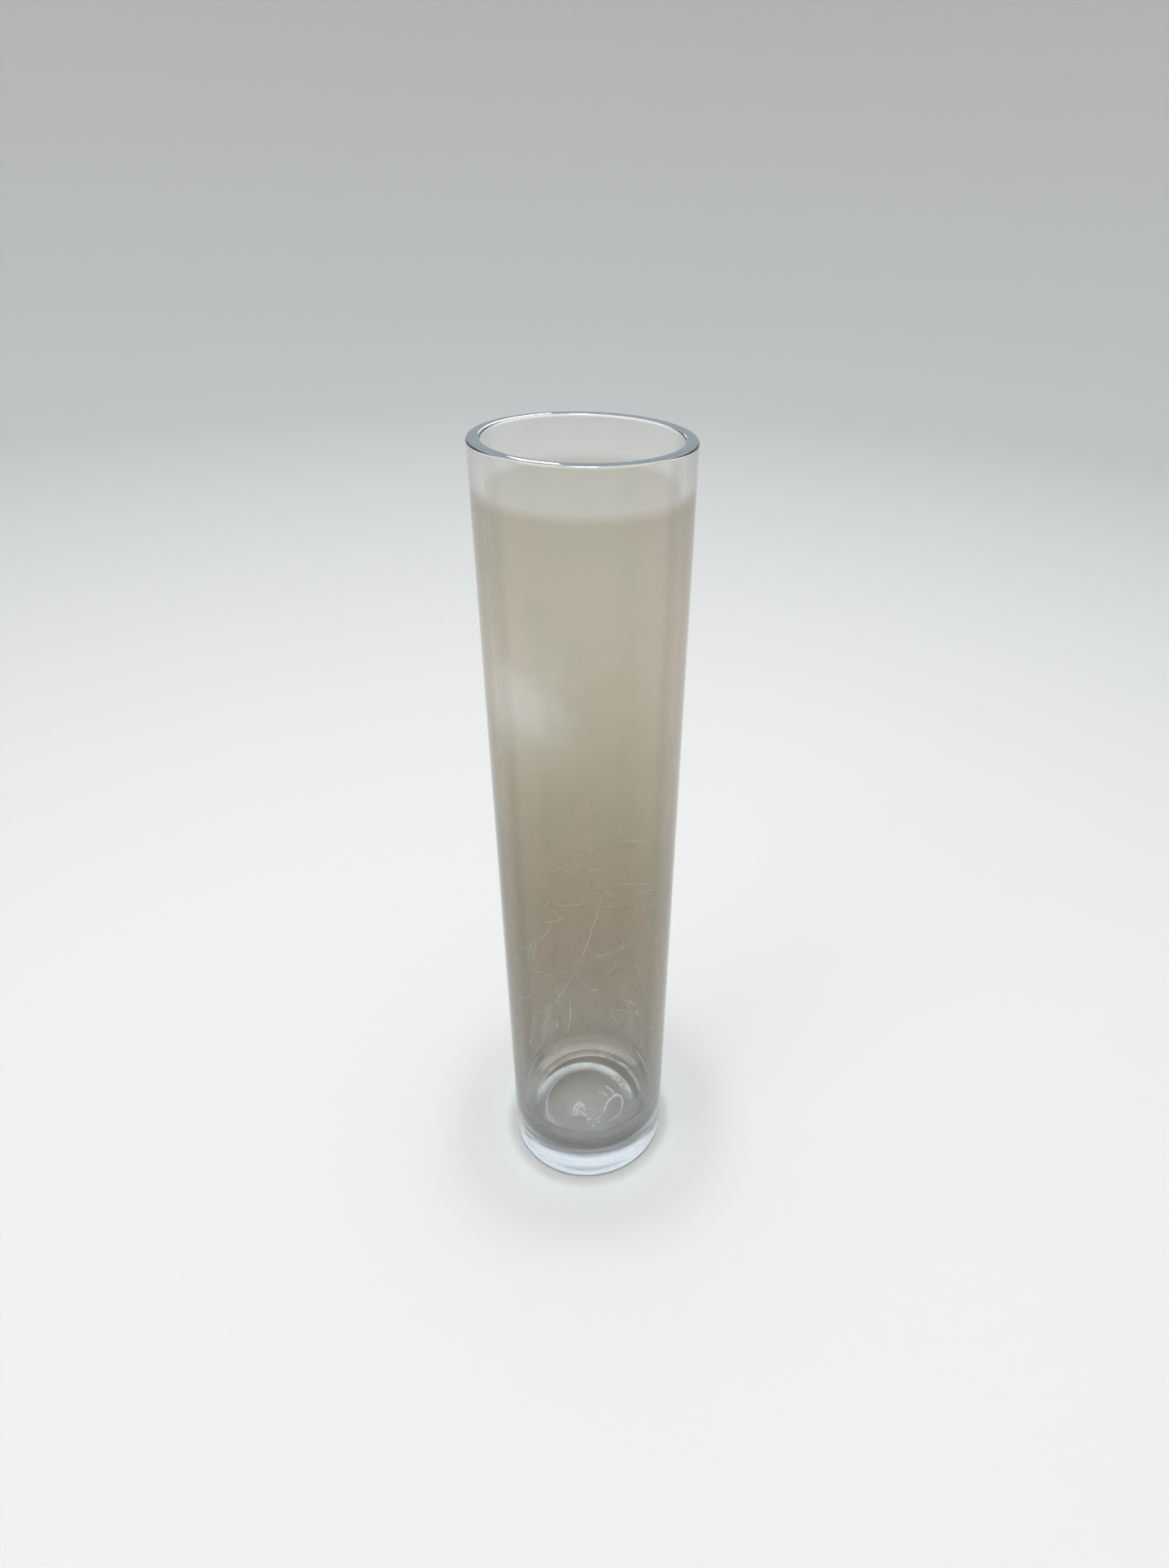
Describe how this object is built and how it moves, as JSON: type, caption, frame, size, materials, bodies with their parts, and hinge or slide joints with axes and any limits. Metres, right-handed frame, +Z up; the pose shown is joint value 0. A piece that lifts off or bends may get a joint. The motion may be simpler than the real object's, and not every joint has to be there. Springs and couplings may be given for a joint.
{
  "type": "glass cylinder vase",
  "caption": "Tall straight-sided clear glass vase with a thick wall, a heavy solid base and an open mouth.",
  "frame": {"origin": "centre of the foot, on the surface that the vase stands on", "axes": "+Z up along the vase's axis, towards the open mouth; X and Y are free, because the vase is round"},
  "size_m": [0.13, 0.13, 0.6],
  "materials": {
    "clear_glass": "polished clear glass, lightly scratched and hazed by use"
  },
  "bodies": {
    "root": {"cylinder_wall": "clear_glass", "solid_base": "clear_glass"}
  },
  "joints": []
}
